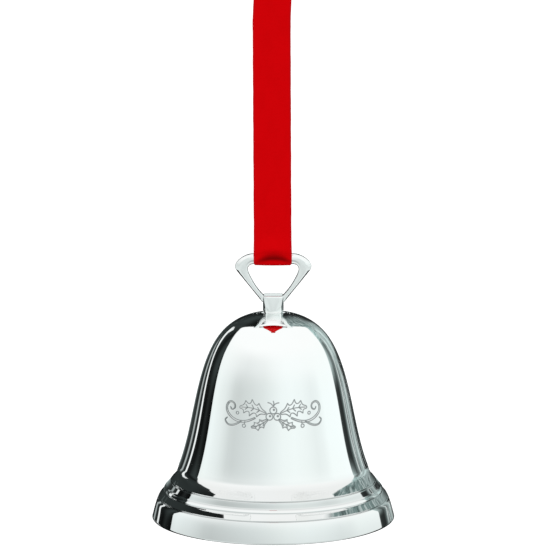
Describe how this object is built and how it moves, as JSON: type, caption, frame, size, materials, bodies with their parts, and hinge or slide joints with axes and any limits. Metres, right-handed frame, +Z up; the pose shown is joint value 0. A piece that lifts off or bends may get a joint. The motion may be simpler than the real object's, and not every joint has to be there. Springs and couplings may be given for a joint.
{
  "type": "christmas bell ornament",
  "caption": "Polished silver-plated hand-bell shaped ornament with a triangular handle loop, a hooked clapper and a red ribbon hanging loop.",
  "frame": {"origin": "centre of the bell's mouth, in the plane of the lip", "axes": "+Z up along the bell's axis towards the handle and ribbon, -Y towards the engraved front, +X to the right of somebody who looks at that front"},
  "size_m": [0.0625, 0.0626, 0.1572],
  "materials": {
    "silver_plate": "bright polished silver plate on brass, mirror-like with fine polishing marks",
    "clapper_plate": "silver-plated clapper parts, polished but less bright than the bell",
    "fixing_steel": "nickel-plated steel fasteners, satin",
    "red_ribbon": "woven polyester ribbon, soft satin sheen with fine cross ribs and firm selvedges",
    "red_thread": "twisted sewing thread, matching red"
  },
  "bodies": {
    "ribbon_loop": {"ribbon": "red_ribbon", "ribbon_stitching": "red_thread"},
    "bell": {"bell_shell": "silver_plate", "handle_loop": "silver_plate", "handle_post": "silver_plate", "eye_bolt": "fixing_steel", "crown_washer": "fixing_steel", "hex_nut": "fixing_steel"},
    "link": {"clapper_link": "clapper_plate"},
    "clapper": {"clapper_rod": "clapper_plate", "clapper_ball": "clapper_plate"}
  },
  "joints": [
    {"name": "bell_swing", "type": "hinge", "parent": "ribbon_loop", "child": "bell", "pos_m": [0, 0, 0.06724], "axis": [1, 0, 0], "range_deg": [-90, 90]},
    {"name": "clapper_swing", "type": "hinge", "parent": "bell", "child": "link", "pos_m": [0, 0, 0.0433], "axis": [1, 0, 0], "range_deg": [-30, 30]},
    {"name": "clapper_sway", "type": "hinge", "parent": "link", "child": "clapper", "pos_m": [0, 0, 0.04005], "axis": [0, 1, 0], "range_deg": [-10, 10]}
  ]
}
